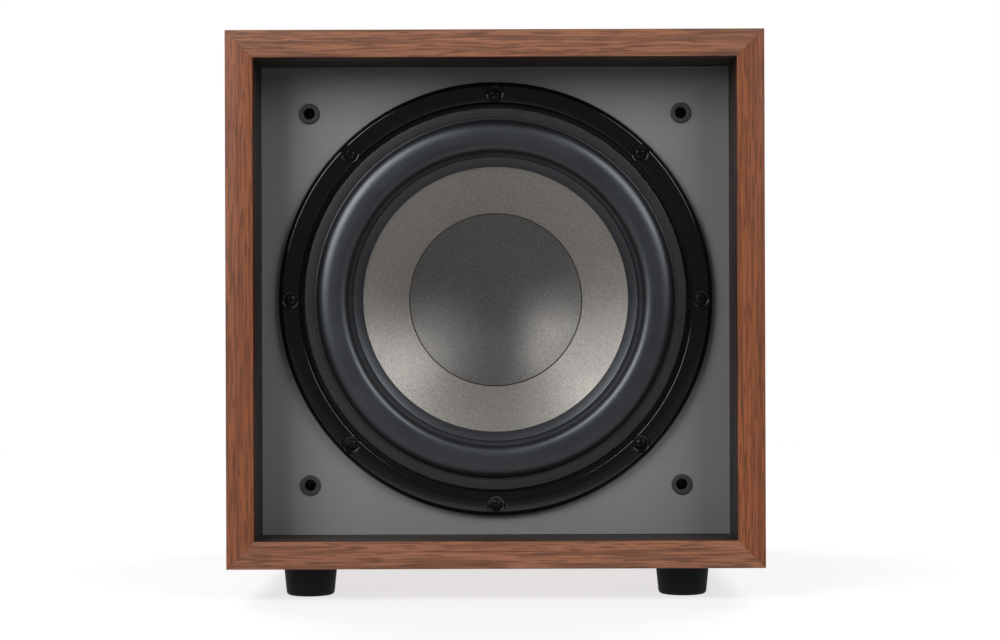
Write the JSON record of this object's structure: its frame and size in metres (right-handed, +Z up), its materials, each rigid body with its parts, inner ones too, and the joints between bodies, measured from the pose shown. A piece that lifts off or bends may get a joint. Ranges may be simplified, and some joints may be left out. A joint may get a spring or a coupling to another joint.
{
  "type": "active subwoofer",
  "caption": "Box subwoofer with a long-throw driver on a recessed baffle, rubber feet and a rear amplifier plate.",
  "frame": {"origin": "on the floor, in the middle of the footprint of the whole object", "axes": "+Z up, the front faces -Y and the amplifier plate faces +Y, +X to the right seen from the front"},
  "size_m": [0.35, 0.396, 0.372],
  "materials": {
    "walnut": "satin walnut veneer",
    "grey_paint": "fine satin grey paint on fibreboard",
    "black_board": "matte black vinyl on fibreboard",
    "wadding": "loose polyester wadding",
    "black_rubber": "matte",
    "surround_rubber": "satin",
    "gloss_black": "gloss black paint",
    "black_steel": "black, slightly worn",
    "cone_metal": "fine satin, silver grey",
    "cap_metal": "fine satin, darker grey",
    "spider_cloth": "resin-dipped woven cotton",
    "bare_aluminium": "brushed",
    "copper": "enamelled winding",
    "plated_steel": "zinc plated",
    "ferrite": "dull ceramic",
    "black_plastic": "fine moulded grain",
    "board_green": "solder mask",
    "transformer_tape": "polyester tape",
    "gold_plate": "gold plated",
    "led_lens": "clear tinted lens",
    "red_pvc": "wire insulation",
    "black_pvc": "wire insulation"
  },
  "bodies": {
    "cabinet": {"left_panel": "walnut", "right_panel": "walnut", "top_panel": "walnut", "bottom_panel": "walnut", "front_baffle": "grey_paint", "rear_panel": "black_board", "acoustic_wadding": "wadding", "grille_socket_1": "black_plastic", "foot_1": "black_rubber", "grille_socket_2": "black_plastic", "foot_2": "black_rubber", "grille_socket_3": "black_plastic", "foot_3": "black_rubber", "grille_socket_4": "black_plastic", "foot_4": "black_rubber", "driver_basket": "gloss_black", "clamp_ring": "black_rubber", "driver_gasket": "black_rubber", "driver_screw_1": "black_steel", "driver_screw_2": "black_steel", "driver_screw_3": "black_steel", "driver_screw_4": "black_steel", "driver_screw_5": "black_steel", "driver_screw_6": "black_steel", "driver_screw_7": "black_steel", "driver_screw_8": "black_steel", "surround": "surround_rubber", "spider": "spider_cloth", "top_plate": "plated_steel", "magnet": "ferrite", "back_plate": "plated_steel", "terminal_strip": "black_plastic", "amp_plate": "black_steel", "amp_gasket": "black_rubber", "main_board": "board_green", "transformer": "transformer_tape", "transformer_bolt": "plated_steel", "heatsink": "bare_aluminium", "capacitor_1": "black_plastic", "capacitor_2": "black_plastic", "iec_inlet": "black_plastic", "power_switch_body": "black_plastic", "level_pot": "plated_steel", "crossover_pot": "plated_steel", "phase_switch_body": "plated_steel", "mode_switch_body": "plated_steel", "rca_jack_left": "gold_plate", "rca_jack_right": "gold_plate", "status_led": "led_lens", "driver_wire_positive": "red_pvc", "driver_wire_negative": "black_pvc"},
    "cone_assembly": {"cone": "cone_metal", "dust_cap": "cap_metal", "voice_coil_former": "bare_aluminium", "voice_coil": "copper"},
    "level_control": {"level_knob": "black_plastic"},
    "crossover_control": {"crossover_knob": "black_plastic"},
    "phase_slider": {"phase_switch": "black_plastic"},
    "mode_slider": {"mode_switch": "black_plastic"},
    "rocker": {"power_rocker": "black_plastic"}
  },
  "joints": [
    {"name": "cone_excursion", "type": "slide", "parent": "cabinet", "child": "cone_assembly", "axis": [0, -1, 0], "range_m": [-0.012, 0.012], "stiffness_N_per_m": 2000, "deforming": ["surround", "spider"]},
    {"name": "level_turn", "type": "hinge", "parent": "cabinet", "child": "level_control", "pos_m": [0.062, 0.19, 0.289], "axis": [0, 1, 0], "range_deg": [-150, 150]},
    {"name": "crossover_turn", "type": "hinge", "parent": "cabinet", "child": "crossover_control", "pos_m": [0.012, 0.19, 0.289], "axis": [0, 1, 0], "range_deg": [-150, 150]},
    {"name": "phase_slide", "type": "slide", "parent": "cabinet", "child": "phase_slider", "axis": [1, 0, 0], "range_m": [0, 0.004]},
    {"name": "mode_slide", "type": "slide", "parent": "cabinet", "child": "mode_slider", "axis": [1, 0, 0], "range_m": [0, 0.006]},
    {"name": "power_rock", "type": "hinge", "parent": "cabinet", "child": "rocker", "pos_m": [0, 0.1856, 0.094], "axis": [1, 0, 0], "range_deg": [0, 16]}
  ]
}
